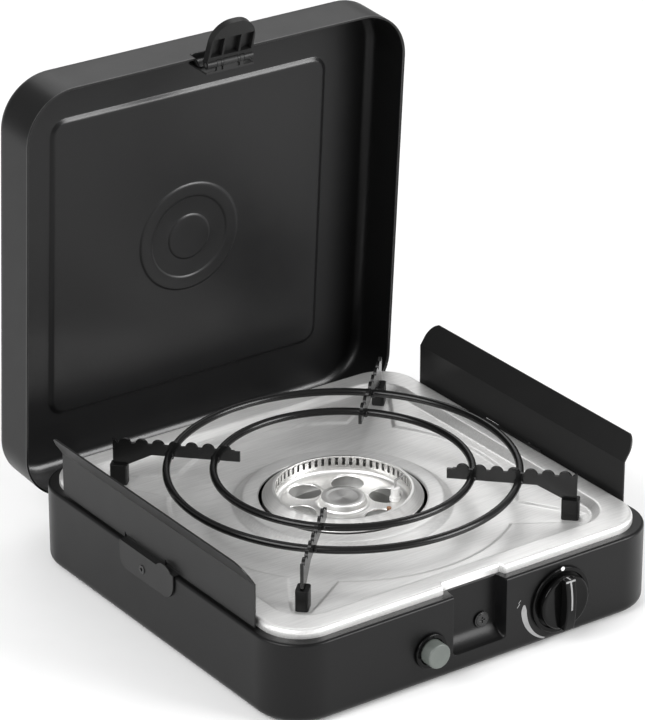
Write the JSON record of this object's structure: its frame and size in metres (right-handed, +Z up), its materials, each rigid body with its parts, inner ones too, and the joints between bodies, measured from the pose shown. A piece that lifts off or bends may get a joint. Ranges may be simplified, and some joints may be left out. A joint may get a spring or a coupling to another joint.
{
  "type": "camping stove",
  "caption": "Portable square gas camping stove with a hinged lid, folding side windshields, a ring burner, a round wire pan support, a gas knob and an ignition button.",
  "frame": {"origin": "on the surface the stove stands on, under the middle of the square base", "axes": "+Z up, -Y towards the knob side, +X to the right seen from the knob side"},
  "size_m": [0.3434, 0.3806, 0.3821],
  "materials": {
    "black_coat": "satin charcoal powder coat",
    "shield_coat": "satin charcoal powder coat",
    "lid_fittings": "zinc-grey painted sheet",
    "bare_steel": "zinc-plated",
    "hob_steel": "brushed stainless sheet",
    "burner_metal": "cast and machined",
    "brass": "turned",
    "copper": "drawn copper tube",
    "knob_black": "moulded black",
    "button_grey": "moulded grey",
    "ceramic": "glazed white ceramic",
    "silicone_lead": "silicone sleeve",
    "enamel": "black enamelled steel",
    "foot_black": "matt black cap",
    "latch_black": "black coated casting",
    "rubber": "moulded"
  },
  "bodies": {
    "base": {"base_pan": "black_coat", "rubber_feet": "rubber", "foot_screws": "bare_steel", "hob_plate": "hob_steel", "plate_clips": "hob_steel", "burner_ring": "burner_metal", "burner_slot_ring": "burner_metal", "burner_floor": "burner_metal", "burner_pot": "burner_metal", "burner_bracket": "lid_fittings", "bracket_screws": "bare_steel", "mixing_tube": "burner_metal", "injector": "brass", "injector_bracket": "lid_fittings", "gas_pipe": "copper", "inlet_pipe": "copper", "gas_inlet": "brass", "inlet_nut": "bare_steel", "valve_body": "brass", "valve_bracket": "lid_fittings", "magnet_unit": "brass", "valve_spring": "bare_steel", "knob_bezel": "knob_black", "thermocouple": "copper", "thermocouple_lead": "copper", "electrode_ceramic": "ceramic", "electrode_wire": "bare_steel", "ignition_lead": "silicone_lead", "piezo_body": "knob_black", "piezo_spring": "bare_steel", "button_bezel": "knob_black", "recess_screw": "bare_steel", "shield_bracket_left": "shield_coat", "shield_bracket_right": "shield_coat", "shield_rivets": "bare_steel", "shield_pins": "bare_steel", "hinge_brackets": "lid_fittings", "hinge_pins": "bare_steel"},
    "push_unit": {"valve_push_rod": "bare_steel"},
    "knob_unit": {"knob": "knob_black", "valve_spindle": "bare_steel"},
    "button": {"piezo_button": "button_grey"},
    "lid": {"lid_shell": "black_coat", "lid_arm_left": "lid_fittings", "lid_arm_right": "lid_fittings", "arm_rivets": "bare_steel", "latch_bracket": "lid_fittings", "latch_pin": "bare_steel"},
    "latch": {"latch": "latch_black"},
    "shield_left": {"windshield_left": "shield_coat"},
    "shield_right": {"windshield_right": "shield_coat"},
    "pan_support": {"pan_ring_outer": "enamel", "pan_ring_inner": "enamel", "pan_arm_1": "enamel", "pan_arm_2": "enamel", "pan_arm_3": "enamel", "pan_arm_4": "enamel", "arm_feet": "foot_black"}
  },
  "joints": [
    {"name": "lid_hinge", "type": "hinge", "parent": "base", "child": "lid", "pos_m": [0, 0.14732, 0.04543], "axis": [-1, 0, 0], "range_deg": [-86.28, 0]},
    {"name": "latch_hinge", "type": "hinge", "parent": "lid", "child": "latch", "pos_m": [0, 0.13896, 0.34924], "axis": [-1, 0, 0], "range_deg": [-76.3, 30]},
    {"name": "windshield_left_hinge", "type": "hinge", "parent": "base", "child": "shield_left", "pos_m": [-0.1549, 0, 0.0662], "axis": [0, -1, 0], "range_deg": [-56.1, 0]},
    {"name": "windshield_right_hinge", "type": "hinge", "parent": "base", "child": "shield_right", "pos_m": [0.1549, 0, 0.0662], "axis": [0, 1, 0], "range_deg": [-56.1, 0]},
    {"name": "pan_support_lift", "type": "slide", "parent": "base", "child": "pan_support", "axis": [0, 0, 1], "range_m": [0, 0.06]},
    {"name": "valve_push", "type": "slide", "parent": "base", "child": "push_unit", "axis": [0, 1, 0], "range_m": [0, 0.003], "stiffness_N_per_m": 900, "springref_m": -0.004, "deforming": ["valve_spring"]},
    {"name": "knob_turn", "type": "hinge", "parent": "push_unit", "child": "knob_unit", "pos_m": [0.0684, 0, 0.0327], "axis": [0, -1, 0], "range_deg": [0, 180]},
    {"name": "piezo_press", "type": "slide", "parent": "base", "child": "button", "axis": [0, 1, 0], "range_m": [0, 0.0055], "stiffness_N_per_m": 900, "springref_m": -0.004, "deforming": ["piezo_spring"]}
  ],
  "couplings": [
    {"joint": "windshield_left_hinge", "follows": "lid_hinge", "ratio": 0.649},
    {"joint": "windshield_right_hinge", "follows": "lid_hinge", "ratio": 0.649}
  ]
}
